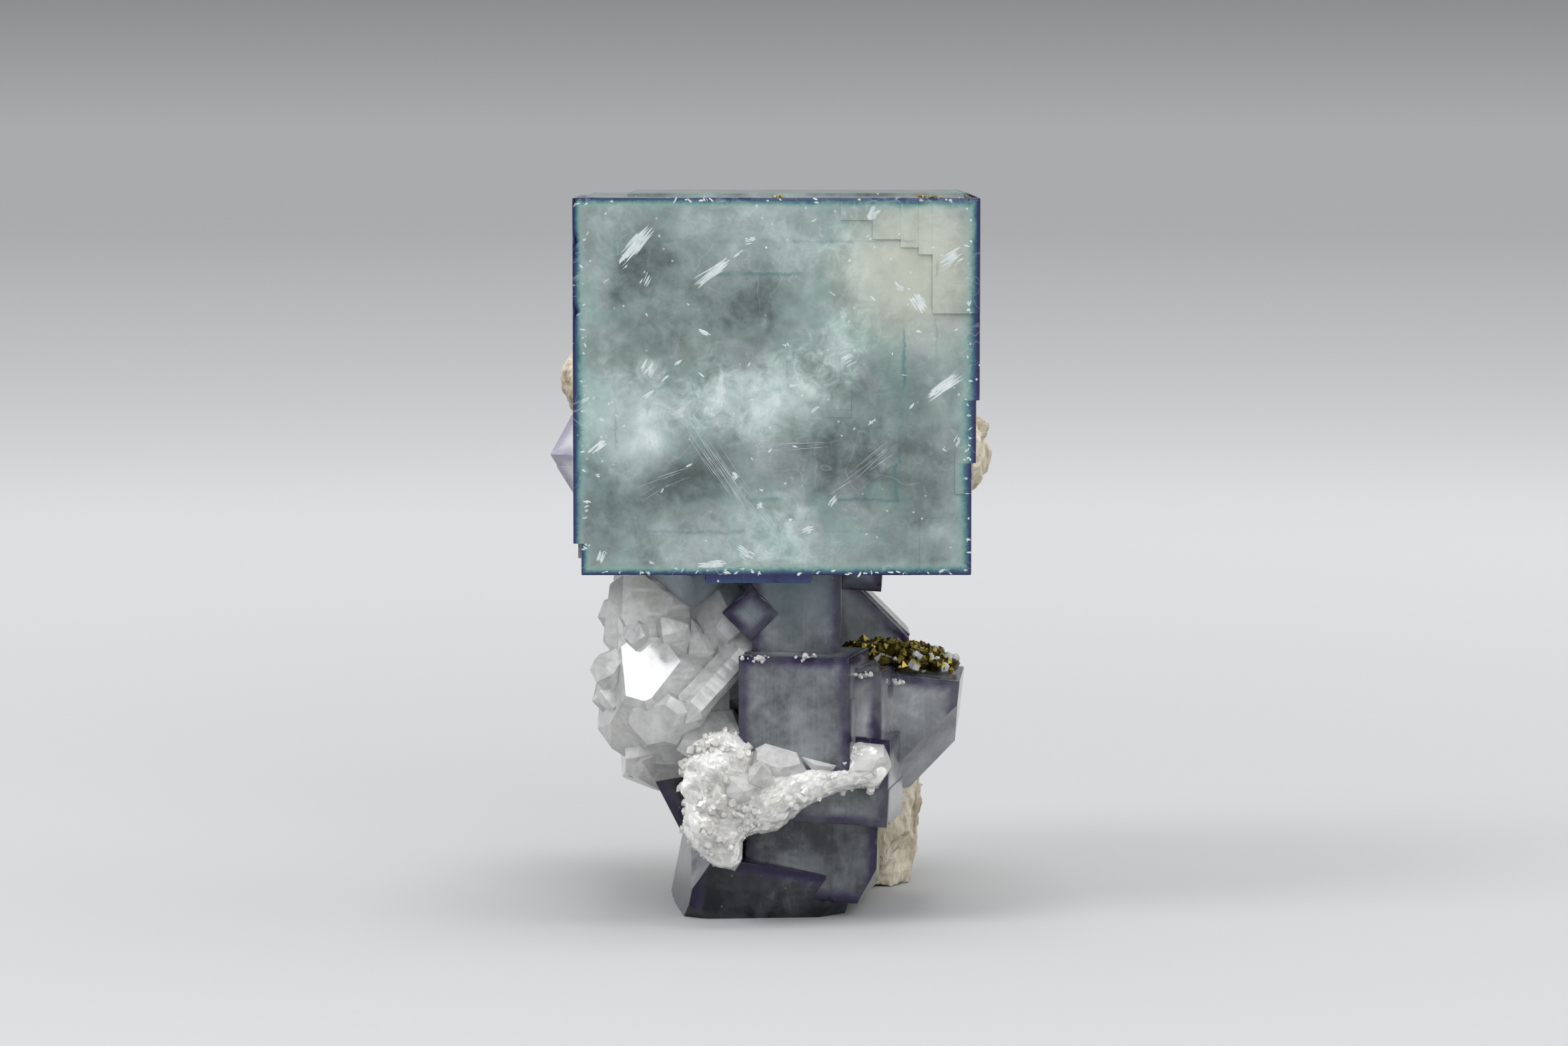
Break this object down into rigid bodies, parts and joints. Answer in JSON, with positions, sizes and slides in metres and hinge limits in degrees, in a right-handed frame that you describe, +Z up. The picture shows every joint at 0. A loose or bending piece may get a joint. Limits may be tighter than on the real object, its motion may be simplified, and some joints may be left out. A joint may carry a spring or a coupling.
{
  "type": "fluorite crystal specimen",
  "caption": "Large zoned fluorite cube with dark rims, grown on smaller violet cubes, milky quartz, brassy sulphide and pale rock, standing upright.",
  "frame": {"origin": "on the table, under the middle of the specimen's box", "axes": "+Z up, -Y out of the large cube's front face, +X to the right across that face"},
  "size_m": [0.048, 0.0544, 0.074],
  "materials": {
    "zoned_fluorite": "cloudy blue-green crystal with a dark violet-blue rim",
    "violet_fluorite": "smoky grey crystal with violet edges",
    "pale_fluorite": "pale violet crystal",
    "quartz": "milky quartz with glossy faces",
    "sulphide": "rough brassy grains",
    "rock": "matt cream rock"
  },
  "bodies": {
    "root": {"main_cube": "zoned_fluorite", "fluorite_cluster": "violet_fluorite", "rear_cube": "violet_fluorite", "wing_crystal": "pale_fluorite", "quartz_cluster": "quartz", "sulphide_crust": "sulphide", "matrix_rock": "rock"}
  },
  "joints": []
}
